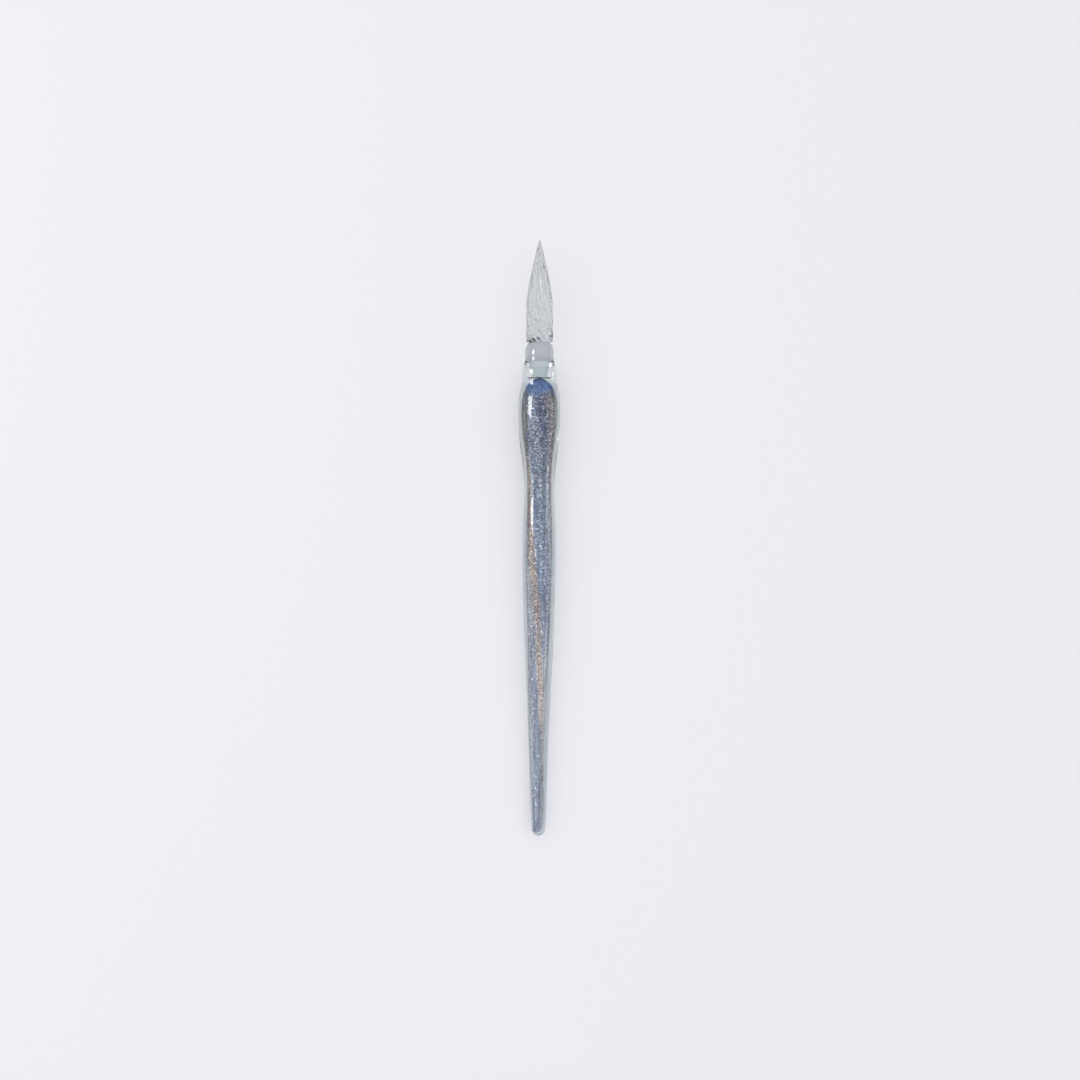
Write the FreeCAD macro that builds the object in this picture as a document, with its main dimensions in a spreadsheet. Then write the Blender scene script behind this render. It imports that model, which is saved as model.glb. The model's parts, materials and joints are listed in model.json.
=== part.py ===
"""Glass dip pen, made by lampworking: a twisted fluted nib, a bead, and a clear handle cased over a coloured
core that carries four bands of glitter.

Every piece is drawn about the pen's own axis: the Y axis, with the nib's tip at the origin and the handle
running towards -Y. A station is a distance from the tip towards the tail, so a point at station a and
radius b is drawn at (b, -a). The finished pieces are then placed together, as the pen lies on a table.
"""

import math
import os

import FreeCAD, Part
import Sketcher

# ---------------------------------------------------------------- driving dimensions, in mm and degrees
SIZES = [
    ("pen_length", 164.1, "tip of the nib to the end of the tail"),
    # nib
    ("nib_length", 28.0, "tip to the back face of the nib"),
    ("nib_radius", 3.72, "over the ridges, where the nib is parallel sided"),
    ("nib_tip_radius", 0.12, "the writing point, ground round"),
    ("nib_taper_length", 18.6, "tip to where the sides become parallel"),
    ("nib_taper_power", 1.42, "how full the taper is: 1 is a cone"),
    ("nib_edge_length", 0.75, "fire-polished edge at the back of the nib"),
    ("nib_edge_drop", 0.55, "how far that edge rounds down"),
    ("flute_count", 12, "ink grooves round the nib"),
    ("tip_flute_depth", 0.1, "depth of a groove at the tip, as a share of the radius"),
    ("flute_depth", 0.24, "the same where the grooves are full"),
    ("flute_full_at", 12.0, "station where the grooves are full"),
    ("gentle_twist", 60.0, "twist spread along the whole nib"),
    ("tight_twist", 45.0, "more twist, nearly all of it at the back of the nib"),
    # bead
    ("bead_joint_radius", 2.25, "where the bead is fused to the nib"),
    ("bead_radius", 3.98, "the widest part of the round front"),
    ("bead_at", 31.2, "station of that widest part"),
    ("bead_neck_radius", 3.92, "slight neck behind it"),
    ("bead_neck_at", 32.4, "station of the neck"),
    ("flare_rise", 0.2, "slope of the outline where the bead meets the handle: rise"),
    ("flare_run", 0.42, "and run"),
    # handle, outside
    ("handle_front_radius", 4.1, "where the bead is fused to the handle"),
    ("handle_at", 33.6, "station of that joint"),
    ("shoulder_radius", 4.95, "front shoulder of the handle"),
    ("shoulder_at", 36.2, "station of the shoulder"),
    ("front_waist_radius", 4.8, "slight waist behind the shoulder"),
    ("front_waist_at", 39.1, "station of the slight waist"),
    ("bulge_radius", 5.87, "finger rest, the widest part of the pen"),
    ("bulge_at", 46.1, "station of the finger rest"),
    ("waist_radius", 4.2, "waist behind the finger rest"),
    ("waist_at", 69.6, "station of the waist"),
    ("swell_radius", 4.65, "second, gentle swelling"),
    ("swell_at", 88.1, "station of the second swelling"),
    ("swell_run", 15.0, "how far the swelling carries on before it tapers"),
    ("taper_radius", 2.95, "guide point of the long taper"),
    ("taper_at", 129.1, "station of the guide point"),
    ("tail_radius", 1.95, "radius just before the rounded end"),
    ("tail_at", 161.8, "station where the rounded end begins"),
    # coloured core
    ("core_front_at", 37.7, "front of the core's dome"),
    ("core_shoulder_at", 43.2, "station where the dome reaches full width"),
    ("core_bulge_radius", 3.2, "core under the finger rest"),
    ("core_bulge_at", 46.1, "station of the core's widest part"),
    ("core_waist_radius", 2.1, "core at its waist"),
    ("core_waist_at", 67.1, "station of the core's waist"),
    ("core_swell_radius", 2.36, "core under the second swelling"),
    ("core_swell_at", 86.1, "station of the core's swelling"),
    ("core_swell_run", 12.0, "how far it carries on before it tapers"),
    ("core_taper_radius", 1.25, "guide point of the core's taper"),
    ("core_taper_at", 119.1, "station of the guide point"),
    ("core_tail_radius", 1.1, "core near its end"),
    ("core_tail_at", 161.1, "station where the core's end begins to round"),
    ("core_end_at", 162.5, "end of the core"),
    # glitter bands
    ("band_count", 4, "bands of glitter round the core"),
    ("band_thickness", 0.35, "how deep a band sits in the core"),
    ("band_half_angle", 30.0, "half the width of a band, seen from the axis"),
    ("band_front_at", 39.2, "station where the bands begin"),
    ("band_end_at", 159.1, "station where they end"),
    ("band_twist", 1.95, "twist of the bands, in degrees per mm"),
    ("band_start_angle", 41.1, "where the first band begins, from the top towards the right"),
]
ROUND = 0.5523  # handle length that makes a cubic curve a quarter of an ellipse
SWAY = 0.42  # handle length, as a share of the run, of a curve between two parallel ends
LONG_SWAY = 0.48  # the same, where the curve holds its width a little longer
QUICK_SWAY, SLOW_SWAY = 0.22, 0.6  # the same, at the waist and at the widest part of a swelling
GROOVE_POWER = 1.5  # how much narrower a groove is than the ridge beside it: 1 is equal

doc = FreeCAD.newDocument("glass_dip_pen")
sheet = doc.addObject("Spreadsheet::Sheet", "sizes")
for row, (alias, value, meaning) in enumerate(SIZES, start=1):
    sheet.set(f"A{row}", alias)
    sheet.set(f"B{row}", str(value))
    sheet.set(f"C{row}", meaning)
    sheet.setAlias(f"B{row}", alias)
doc.recompute()


def size(alias):
    """The number in one of the sheet's named cells."""
    return float(sheet.get(alias))


# ---------------------------------------------------------------- outlines of the turned pieces
def at(radius, station):
    """A point of an outline, as two expressions on the sheet."""
    return radius, station


def on_axis(station):
    return at("0", station)


def sway(start, end, leaving=SWAY, arriving=SWAY):
    """Handles of a curve that is parallel to the axis at both ends."""
    (radius_a, station_a), (radius_b, station_b) = start, end
    run = f"({station_b} - {station_a})"
    return [
        at(radius_a, f"{station_a} + {run} * {leaving}"),
        at(radius_b, f"{station_b} - {run} * {arriving}"),
    ]


def swelling(start, end):
    """Handles of a curve that leaves a waist quickly and comes slowly to its widest part."""
    return sway(start, end, leaving=QUICK_SWAY, arriving=SLOW_SWAY)


def rounding_out(start, end):
    """Handles of a quarter ellipse that leaves square to the axis and ends parallel to it."""
    (radius_a, station_a), (radius_b, station_b) = start, end
    return [
        at(f"{radius_a} + ({radius_b} - {radius_a}) * {ROUND}", station_a),
        at(radius_b, f"{station_b} - ({station_b} - {station_a}) * {ROUND}"),
    ]


def rounding_in(start, end):
    """Handles of a quarter ellipse that leaves parallel to the axis and ends square to it."""
    (radius_a, station_a), (radius_b, station_b) = start, end
    return [
        at(radius_a, f"{station_a} + ({station_b} - {station_a}) * {ROUND}"),
        at(f"{radius_b} + ({radius_a} - {radius_b}) * {ROUND}", station_b),
    ]


def vector_of(sketch, point):
    radius, station = (float(sketch.evalExpression(words)) for words in point)
    return FreeCAD.Vector(radius, -station, 0)


def fix_point(sketch, geometry, end, point):
    """Ties one point of the sketch to the sheet."""
    radius, station = point
    where = vector_of(sketch, point)
    if radius == "0":
        sketch.addConstraint(Sketcher.Constraint("PointOnObject", geometry, end, -2))
    else:
        across = sketch.addConstraint(Sketcher.Constraint("DistanceX", -1, 1, geometry, end, where.x))
        sketch.setExpression(f"Constraints[{across}]", radius)
    along = sketch.addConstraint(Sketcher.Constraint("DistanceY", geometry, end, -1, 1, -where.y))
    sketch.setExpression(f"Constraints[{along}]", station)


def draw_outline(body, name, start, steps):
    """Draws a closed outline in the body's XY plane, back to its start along the axis. Each step is the
    point it goes to, and either None for a straight line or the two handles of a cubic curve."""
    sketch = body.newObject("Sketcher::SketchObject", name)
    plane = next(f for f in body.Origin.OriginFeatures if f.Role == "XY_Plane")
    sketch.AttachmentSupport = [(plane, "")]
    sketch.MapMode = "FlatFace"
    first, last, here = None, None, start
    for end, handles in [*steps, (start, None)]:
        if handles is None:
            line = Part.LineSegment(vector_of(sketch, here), vector_of(sketch, end))
            drawn = sketch.addGeometry(line, False)
        else:
            poles = [vector_of(sketch, point) for point in (here, *handles, end)]
            curve = Part.BSplineCurve(poles, [4, 4], [0, 1], False, 3, None, False)
            drawn = sketch.addGeometry(curve, False)
            sketch.exposeInternalGeometry(drawn)
            for pole, handle in enumerate(handles, start=2):
                fix_point(sketch, drawn + pole, 3, handle)
        if last is None:
            first = drawn
            fix_point(sketch, drawn, 1, start)
        else:
            sketch.addConstraint(Sketcher.Constraint("Coincident", last, 2, drawn, 1))
        if end is start:
            sketch.addConstraint(Sketcher.Constraint("Coincident", drawn, 2, first, 1))
        else:
            fix_point(sketch, drawn, 2, end)
        last, here = drawn, end
    return sketch


def path(start, *steps):
    """Fills in the handles of each step, which is a point and the function that shapes the curve to it."""
    filled, here = [], start
    for end, shaped in steps:
        filled.append((end, shaped(here, end) if callable(shaped) else shaped))
        here = end
    return filled


def turned(body, sketch):
    """Turns a closed outline about the pen's axis."""
    turn = body.newObject("PartDesign::Revolution", sketch.Name + "_turned")
    turn.Profile = sketch
    turn.ReferenceAxis = (sketch, ["V_Axis"])
    turn.Angle = 360
    return turn


def new_body(label):
    body = doc.addObject("PartDesign::Body", label)
    body.Label = label
    return body


# ---------------------------------------------------------------- the clear pieces
def make_bead():
    """Round bead of clear glass between the nib and the handle, flaring where it meets the handle."""
    bead = new_body("nib_bead")
    start = on_axis("sizes.nib_length")
    joint = at("sizes.bead_joint_radius", "sizes.nib_length")
    widest = at("sizes.bead_radius", "sizes.bead_at")
    neck = at("sizes.bead_neck_radius", "sizes.bead_neck_at")
    back = at("sizes.handle_front_radius", "sizes.handle_at")
    flare = [
        at("sizes.bead_neck_radius", "sizes.bead_neck_at + sizes.flare_run"),
        at("sizes.handle_front_radius - sizes.flare_rise", "sizes.handle_at - sizes.flare_run"),
    ]
    steps = path(
        start,
        (joint, None),
        (widest, rounding_out),
        (neck, sway),
        (back, flare),
        (on_axis("sizes.handle_at"), None),
    )
    turned(bead, draw_outline(bead, "bead_outline", start, steps))
    return bead


def core_steps(start, inset):
    """Outline of the coloured core, drawn in by the given amount on every side."""
    full_width = at(f"sizes.core_bulge_radius - {inset}", "sizes.core_shoulder_at")
    bulge = at(f"sizes.core_bulge_radius - {inset}", "sizes.core_bulge_at")
    waist = at(f"sizes.core_waist_radius - {inset}", "sizes.core_waist_at")
    swell = at(f"sizes.core_swell_radius - {inset}", "sizes.core_swell_at")
    tail = at(f"sizes.core_tail_radius - {inset}", "sizes.core_tail_at")
    taper = [
        at(f"sizes.core_swell_radius - {inset}", "sizes.core_swell_at + sizes.core_swell_run"),
        at(f"sizes.core_taper_radius - {inset}", "sizes.core_taper_at"),
    ]
    return path(
        start,
        (full_width, rounding_out),
        (bulge, None),
        (waist, sway),
        (swell, sway),
        (tail, taper),
        (on_axis(f"sizes.core_end_at - {inset}"), rounding_in),
    )


def make_casing():
    """Clear casing of the handle: the outer shape, less the space that the core fills."""
    casing = new_body("handle_casing")
    start = on_axis("sizes.handle_at")
    front = at("sizes.handle_front_radius", "sizes.handle_at")
    shoulder = at("sizes.shoulder_radius", "sizes.shoulder_at")
    front_waist = at("sizes.front_waist_radius", "sizes.front_waist_at")
    bulge = at("sizes.bulge_radius", "sizes.bulge_at")
    waist = at("sizes.waist_radius", "sizes.waist_at")
    swell = at("sizes.swell_radius", "sizes.swell_at")
    tail = at("sizes.tail_radius", "sizes.tail_at")
    shoulder_curve = [
        at("sizes.handle_front_radius + sizes.flare_rise", "sizes.handle_at + sizes.flare_run"),
        at("sizes.shoulder_radius", f"sizes.shoulder_at - (sizes.shoulder_at - sizes.handle_at) * {ROUND}"),
    ]
    taper = [
        at("sizes.swell_radius", "sizes.swell_at + sizes.swell_run"),
        at("sizes.taper_radius", "sizes.taper_at"),
    ]
    steps = path(
        start,
        (front, None),
        (shoulder, shoulder_curve),
        (front_waist, sway),
        (bulge, swelling),
        (waist, lambda start, end: sway(start, end, leaving=LONG_SWAY)),
        (swell, swelling),
        (tail, taper),
        (on_axis("sizes.pen_length"), rounding_in),
    )
    outline = draw_outline(casing, "casing_outline", start, steps)
    turned(casing, outline)
    doc.recompute()
    inside = on_axis("sizes.core_front_at")
    space = casing.newObject("PartDesign::Groove", "core_space")
    space.Profile = draw_outline(casing, "core_space_outline", inside, core_steps(inside, "0"))
    space.ReferenceAxis = (space.Profile[0], ["V_Axis"])
    space.Angle = 360
    return casing, outline


def nib_ridge_radius(station):
    """Radius over the nib's ridges: a round writing point, a full taper, then a polished back edge."""
    tip, full = size("nib_tip_radius"), size("nib_radius")
    left = max(0.0, 1 - station / size("nib_taper_length"))
    radius = tip + (full - tip) * (1 - left ** size("nib_taper_power"))
    if station < tip:
        radius *= math.sqrt(1 - 0.9 * (1 - station / tip) ** 2)
    into_edge = station - (size("nib_length") - size("nib_edge_length"))
    if into_edge > 0:
        turn = into_edge / size("nib_edge_length")
        radius -= size("nib_edge_drop") * (1 - math.sqrt(1 - turn**2))
    return radius


def nib_flute_depth(station):
    """Depth of the grooves as a share of the radius: shallow on the ground tip, then full."""
    share = min(1.0, station / size("flute_full_at"))
    shallow, full = size("tip_flute_depth"), size("flute_depth")
    return shallow + (full - shallow) * share**2 * (3 - 2 * share)


def nib_turn(station):
    """How far the flutes have turned at a station: slowly at first, fastest at the back."""
    share = station / size("nib_length")
    return math.radians(size("gentle_twist") * share**2 + size("tight_twist") * share**7)


def nib_row(station, points_per_flute=8):
    """Control points round the nib: broad rounded ridges and narrower grooves."""
    flutes, depth = int(size("flute_count")), nib_flute_depth(station)
    ridge, turned_by = nib_ridge_radius(station), nib_turn(station)
    row = []
    for step in range(flutes * points_per_flute):
        angle = 2 * math.pi * step / (flutes * points_per_flute)
        groove = ((1 + math.cos(flutes * angle)) / 2) ** GROOVE_POWER
        radius = ridge * (1 - depth * groove)
        around = angle + turned_by
        row.append(FreeCAD.Vector(radius * math.sin(around), -station, radius * math.cos(around)))
    return row


def make_nib():
    """Fluted nib: no turned or extruded feature has a section that shrinks and twists along its length, so
    its side is one smooth surface over rows of control points, closed by a flat face at each end."""
    tip, length, edge = size("nib_tip_radius"), size("nib_length"), size("nib_edge_length")
    even_rows = 22
    parallel_end = length - edge
    stations = [0.0, 0.5 * tip, tip]
    stations += [tip + (parallel_end - tip) * row / even_rows for row in range(1, even_rows + 1)]
    stations += [length - 0.5 * edge, length - 0.1 * edge, length]
    rows = [nib_row(station) for station in stations]

    side = Part.BSplineSurface()
    along, around = len(rows), len(rows[0])
    side.buildFromPolesMultsKnots(
        rows,
        [4] + [1] * (along - 4) + [4],
        [1] * (around + 1),
        list(range(along - 2)),
        list(range(around + 1)),
        False,
        True,
        3,
        3,
    )
    side_face = side.toShape()
    ends = [Part.Face(Part.Wire([edge])) for edge in side_face.Edges if edge.isClosed()]
    shell = Part.makeShell([side_face, *ends])
    shell.sewShape()
    nib = doc.addObject("Part::Feature", "nib")
    nib.Label = "nib"
    nib.Shape = Part.makeSolid(shell)
    return nib


# ---------------------------------------------------------------- the coloured pieces
def make_core_blank(name, inset):
    """The core's outside, or what is left of it under the glitter bands."""
    blank = new_body(name)
    start = on_axis(f"sizes.core_front_at + {inset}")
    turned(blank, draw_outline(blank, name + "_outline", start, core_steps(start, inset)))
    return blank


def make_band_cutter(number):
    """A wedge that winds round the axis. The band is what this wedge takes out of the glitter layer."""
    angle = size("band_start_angle") + 360 / size("band_count") * (number - 1)
    front = FreeCAD.Vector(0, -size("band_front_at"), 0)
    to_axis = FreeCAD.Rotation(FreeCAD.Vector(1, 0, 0), 90)
    # A turn about +Y by this much takes the wedge's middle from +X, its place as drawn, to its own angle.
    about_axis = FreeCAD.Rotation(FreeCAD.Vector(0, 1, 0), angle - 90)
    place = FreeCAD.Placement(front, about_axis.multiply(to_axis))

    line = doc.addObject("Part::Helix", f"band_{number}_line")
    line.LocalCoord = "Left-handed"
    line.setExpression("Radius", "sizes.core_waist_radius")
    line.setExpression("Pitch", "360 / sizes.band_twist")
    line.setExpression("Height", "sizes.band_end_at - sizes.band_front_at")
    line.Placement = place

    section = doc.addObject("Sketcher::SketchObject", f"band_{number}_section")
    section.Placement = place
    inner, outer = "sizes.core_tail_radius / 2", "sizes.bulge_radius"
    half = math.radians(size("band_half_angle"))
    corners = []
    for radius, side in ((inner, -1), (outer, -1), (outer, 1), (inner, 1)):
        length = float(section.evalExpression(radius))
        corner = FreeCAD.Vector(length * math.cos(half), side * length * math.sin(half), 0)
        corners.append((radius, side, corner))
    for (_, _, a), (_, _, b) in zip(corners, corners[1:] + corners[:1]):
        section.addGeometry(Part.LineSegment(a, b), False)
    for edge, (radius, side, corner) in enumerate(corners):
        section.addConstraint(Sketcher.Constraint("Coincident", edge - 1 if edge else 3, 2, edge, 1))
        across = section.addConstraint(Sketcher.Constraint("DistanceX", -1, 1, edge, 1, corner.x))
        section.setExpression(f"Constraints[{across}]", f"({radius}) * cos(sizes.band_half_angle * 1deg)")
        ends = (-1, 1, edge, 1) if side > 0 else (edge, 1, -1, 1)
        up = section.addConstraint(Sketcher.Constraint("DistanceY", *ends, abs(corner.y)))
        section.setExpression(f"Constraints[{up}]", f"({radius}) * sin(sizes.band_half_angle * 1deg)")

    cutter = doc.addObject("Part::Sweep", f"band_{number}_cutter")
    cutter.Sections = [section]
    cutter.Spine = (line, [])
    cutter.Solid = True
    cutter.Frenet = True
    return cutter


def make_core_and_bands():
    """The coloured core, with a shallow winding groove for each glitter band, and the bands in them."""
    blank = make_core_blank("core_blank", "0")
    under = make_core_blank("core_under_glitter", "sizes.band_thickness")
    layer = doc.addObject("Part::Cut", "glitter_layer")
    layer.Base, layer.Tool = blank, under
    cutters = [make_band_cutter(number) for number in range(1, int(size("band_count")) + 1)]

    bands = []
    for number, cutter in enumerate(cutters, start=1):
        band = doc.addObject("Part::Common", f"glitter_band_{number}")
        band.Label = f"glitter_band_{number}"
        band.Base, band.Tool = layer, cutter
        bands.append(band)

    all_cutters = doc.addObject("Part::MultiFuse", "all_band_cutters")
    all_cutters.Shapes = cutters
    glitter = doc.addObject("Part::Common", "all_glitter")
    glitter.Base, glitter.Tool = layer, all_cutters
    core = doc.addObject("Part::Cut", "colour_core")
    core.Label = "colour_core"
    core.Base, core.Tool = blank, glitter
    return core, bands


# ---------------------------------------------------------------- how the pen lies
def lying_placement(casing_outline):
    """The handle rests on two swellings, so its axis slopes down towards the tail. This finds the slope at
    which both touch the table, then centres the pen along its length."""
    outline = [p for edge in casing_outline.Shape.Edges for p in edge.discretize(400)]
    waist = -size("waist_at")
    front = [p for p in outline if p.y > waist]
    rear = [p for p in outline if p.y < waist]

    def depth(points, slope):
        return max(p.x * math.cos(slope) - p.y * math.sin(slope) for p in points)

    low, high = 0.0, math.radians(10)
    for _ in range(50):
        slope = (low + high) / 2
        if depth(front, slope) > depth(rear, slope):
            low = slope
        else:
            high = slope
    middle = -size("pen_length") / 2 * math.cos(slope)
    lift = FreeCAD.Vector(0, -middle, depth(front, slope))
    tilt = FreeCAD.Rotation(FreeCAD.Vector(1, 0, 0), math.degrees(slope))
    print(f"resting slope {math.degrees(slope):.3f} degrees, axis {lift.z:.3f} mm up at the tip")
    return FreeCAD.Placement(lift, tilt)


# ---------------------------------------------------------------- build, check and write
nib = make_nib()
bead = make_bead()
casing, casing_outline = make_casing()
core, bands = make_core_and_bands()
pieces = [nib, bead, casing, core, *bands]
doc.recompute()

lying = lying_placement(casing_outline)
for piece in pieces:
    piece.Placement = lying
doc.recompute()

for thing in doc.Objects:
    if {"Invalid", "Error"} & set(thing.State):
        raise SystemExit(f"{thing.Name} failed: {thing.State}")
for piece in pieces:
    if piece.Shape.isNull() or not piece.Shape.isValid() or not piece.Shape.Solids:
        raise SystemExit(f"{piece.Label} has no valid solid")

os.makedirs("parts", exist_ok=True)
for piece in pieces:
    piece.Shape.exportStep(f"parts/{piece.Label}.step")
    box = piece.Shape.optimalBoundingBox(False)
    print(
        f"{piece.Label}: {len(piece.Shape.Solids)} solid, {piece.Shape.Volume:.2f} mm3,"
        f" y {box.YMin:.2f} to {box.YMax:.2f}, z {box.ZMin:.3f} to {box.ZMax:.2f}"
    )
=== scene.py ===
"""Looks of a lampworked glass dip pen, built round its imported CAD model.

A place on the pen is given the way a glassworker would: a station, in mm behind the tip of the nib, a
radius from the pen's own axis, in mm, and an angle round it, from the top towards +X.
"""

import bpy
import json
import math
import random
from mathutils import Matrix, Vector, noise


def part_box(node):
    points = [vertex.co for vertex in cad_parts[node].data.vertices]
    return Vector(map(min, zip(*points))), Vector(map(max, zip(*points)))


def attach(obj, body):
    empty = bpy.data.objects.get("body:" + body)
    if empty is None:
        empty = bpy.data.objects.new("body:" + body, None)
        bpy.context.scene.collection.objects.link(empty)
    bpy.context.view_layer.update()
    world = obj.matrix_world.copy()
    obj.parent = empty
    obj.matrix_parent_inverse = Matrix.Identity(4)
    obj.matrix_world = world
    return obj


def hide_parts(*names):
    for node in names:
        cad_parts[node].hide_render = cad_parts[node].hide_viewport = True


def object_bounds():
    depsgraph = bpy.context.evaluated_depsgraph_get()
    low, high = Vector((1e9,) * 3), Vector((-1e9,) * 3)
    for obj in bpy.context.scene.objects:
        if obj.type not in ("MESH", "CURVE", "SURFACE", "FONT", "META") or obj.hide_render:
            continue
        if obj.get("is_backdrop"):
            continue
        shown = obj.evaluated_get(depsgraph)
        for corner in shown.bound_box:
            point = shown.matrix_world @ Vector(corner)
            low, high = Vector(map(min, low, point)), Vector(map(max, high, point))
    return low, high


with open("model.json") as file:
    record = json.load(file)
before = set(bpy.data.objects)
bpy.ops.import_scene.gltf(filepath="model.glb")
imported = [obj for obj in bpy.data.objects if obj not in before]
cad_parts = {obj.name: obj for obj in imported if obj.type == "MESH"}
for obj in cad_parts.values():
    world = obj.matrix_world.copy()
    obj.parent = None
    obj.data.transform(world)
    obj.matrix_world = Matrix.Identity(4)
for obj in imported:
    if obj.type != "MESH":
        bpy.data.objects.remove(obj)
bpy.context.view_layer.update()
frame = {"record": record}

MM = 0.001
BODY = "root"

# ---------------------------------------------------------------- outlines, close to the CAD pieces'
# Each point of an outline is a radius and a station.
ROUND = 0.5523  # handle length that makes a cubic curve a quarter of an ellipse
SWAY = 0.42  # handle length, as a share of the run, of a curve between two parallel ends
QUICK_SWAY, LONG_SWAY, SLOW_SWAY = 0.22, 0.48, 0.6

BEAD_JOINT, BEAD_WIDEST, BEAD_NECK, BEAD_BACK = (2.25, 28.0), (3.98, 31.2), (3.92, 32.4), (4.1, 33.6)
SHOULDER, FRONT_WAIST, BULGE = (4.95, 36.2), (4.8, 39.1), (5.87, 46.1)
WAIST, SWELL, TAIL, PEN_END = (4.2, 69.6), (4.65, 88.1), (1.95, 161.8), (0.0, 164.1)
FLARE_RISE, FLARE_RUN = 0.08, 0.42  # slope of the outline where the bead meets the handle
TAPER_HANDLES = (4.65, 103.1), (2.95, 129.1)

CORE_FRONT, CORE_BULGE, CORE_WAIST, CORE_SWELL = (0.0, 37.7), (3.2, 46.1), (2.1, 67.1), (2.36, 86.1)
CORE_TAIL, CORE_END = (1.25, 161.1), (0.0, 162.9)
CORE_DOME_HANDLES = (1.6, 37.7), (3.2, 41.5)
CORE_TAPER_HANDLES = (2.36, 98.1), (1.25, 119.1)
CORE_DRIFT = 0.4  # how far off the casing's centre the core ends
DRIFT_FROM, DRIFT_RUN = 100.0, 30.0

FILM_FRONT, FILM_BACK, FILM_THICKNESS = (3.1, 34.9), (2.2, 37.85), 0.03

NIB_LENGTH, NIB_RADIUS, NIB_TIP = 28.0, 3.72, 0.12
NIB_TAPER, NIB_POWER = 18.6, 1.42  # length of the taper, and how full it is
NIB_EDGE, NIB_EDGE_DROP = 0.75, 0.55
TIP_ROUNDING = 0.9  # at 1 the writing point would be a half ball
FLUTES, TIP_FLUTE_DEPTH, FLUTE_DEPTH, FLUTE_FULL_AT = 12, 0.07, 0.24, 11.0
GROOVE_POWER = 1.4  # above 1, grooves are narrower than ridges
DEPTH_SPREAD, LEAN_SPREAD = 0.15, 0.06  # how far the flutes differ
LEAN_CHANGE = 0.45  # how quickly a flute's lean changes along it, in radians for each mm
GENTLE_TWIST, TIGHT_TWIST = 60.0, 45.0  # degrees: one over the whole nib, one mostly at its back
BACK_DIP = 0.25  # the nib's back face is a little hollow between its edge and the joint

# ---------------------------------------------------------------- where the glitter lies
BANDS = 4
BAND_HALF = math.radians(30)
BAND_FRONT, BAND_END = 39.2, 159.1
BAND_START = math.radians(41.1)  # angle of the first band's middle, at its front
BAND_TWIST = math.radians(1.95)  # for each mm
BAND_HUES = (0.52, 0.4, 0.72, 0.26)  # pinkish silver, lilac, copper, pale blue
HUE_SLANT = 0.08  # change of hue from a band's middle to its edge
OLIVE_BAND, OLIVE_EDGE, OLIVE_END, OLIVE_STEP = 1, 0.55, 56.0, 0.45  # the front of one band's edge is olive

# The strip of clouded glass under each band
STRIP_COLUMNS, STRIP_SPACING = 10, 0.7
STRIP_LIFT, STRIP_CROWN = 0.005, 0.03

# The flakes over each strip. Places across a band are in its half widths, and tilts are in radians.
BAND_FLAKES = 2800
BAND_SPREAD, BAND_REACH = 0.5, 1.25
BAND_FLAKE_SIZES, BAND_FLAKE_TILT = (0.06, 0.15), 0.35
BAND_HUE_SPREAD = 0.13
END_MARGIN = 1.0  # they end this far before their strip

# The flakes between the bands
STRAY_FLAKES = 4200
STRAY_POWER = 1.2  # above 1, there are more towards the front
STRAY_OUTSIDE = 0.8
STRAY_FLAKE_SIZES, STRAY_FLAKE_TILT = (0.06, 0.14), 0.3
STRAY_HUE, STRAY_HUE_SPREAD = 0.2, 0.12

# Every flake
FLAKE_CORNERS = (4, 5, 5, 6)
CORNER_SHIFT, CORNER_REACH = 0.2, (0.75, 1.1)  # as shares of the angle between corners, and of the size
FLAKE_HALF = 0.012  # half of its thickness
FLAKE_LIFTS = (0.03, 0.1)  # its height over the core
GLITTER_FROM, FADE_BEFORE, FADE_AFTER = 42.0, 2.0, 1.0  # it fades in round this station
THINNING_FROM, THINNING_RUN, THINNEST = 110.0, 40.0, 0.2

# ---------------------------------------------------------------- hand work, and how finely it is modelled
NIB_SEED, STRAY_SEED, BAND_SEEDS = 12, 77, 100
BEAD_SEED, CASING_SEED, CORE_SEED = 1.0, 2.0, 3.0
CLEAR_UNEVENNESS, CORE_UNEVENNESS = 0.008, 0.01  # as shares of the radius
CHANGE_ROUND, CHANGE_ALONG = 0.6, 0.11  # how quickly the unevenness changes
CLEAR_SEGMENTS, CORE_SEGMENTS = 128, 96

# ---------------------------------------------------------------- where the pen lies
# The grip mount is a point on the pen's axis, and its own axis points to the tail.
grip = next(m for m in frame["record"]["mounts"] if m["name"] == "grip")
TAILWARDS = Vector(grip["axis"]).normalized()
OUT_RIGHT = Vector((1, 0, 0))
OUT_UP = OUT_RIGHT.cross(TAILWARDS)
if OUT_UP.z < 0:
    OUT_UP.negate()
on_axis = Vector(grip["pos_m"])
nib_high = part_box("nib")[1]
TIP = on_axis + TAILWARDS * ((nib_high[1] - on_axis.y) / TAILWARDS.y)


def eased(share):
    """A share held between 0 and 1, with a soft start and a soft end."""
    share = min(1.0, max(0.0, share))
    return share * share * (3 - 2 * share)


def place(radius, station, around):
    """The point at a radius and station in mm, and an angle round the axis in radians."""
    outwards = OUT_RIGHT * math.sin(around) + OUT_UP * math.cos(around)
    return TIP + TAILWARDS * (station * MM) + outwards * (radius * MM)


def place_in_core(radius, station, around):
    """The same for the coloured core, which lies a little off the casing's centre towards the tail."""
    drift = CORE_DRIFT * eased((station - DRIFT_FROM) / DRIFT_RUN)
    return place(radius, station, around) - OUT_RIGHT * (drift * MM)


def cubic(start, handles, end, steps):
    """Points of a cubic curve after its start."""
    corners = (start, *handles, end)
    points = []
    for step in range(1, steps + 1):
        t = step / steps
        weights = ((1 - t) ** 3, 3 * t * (1 - t) ** 2, 3 * t * t * (1 - t), t**3)
        points.append(tuple(sum(w * c[i] for w, c in zip(weights, corners)) for i in (0, 1)))
    return points


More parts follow.
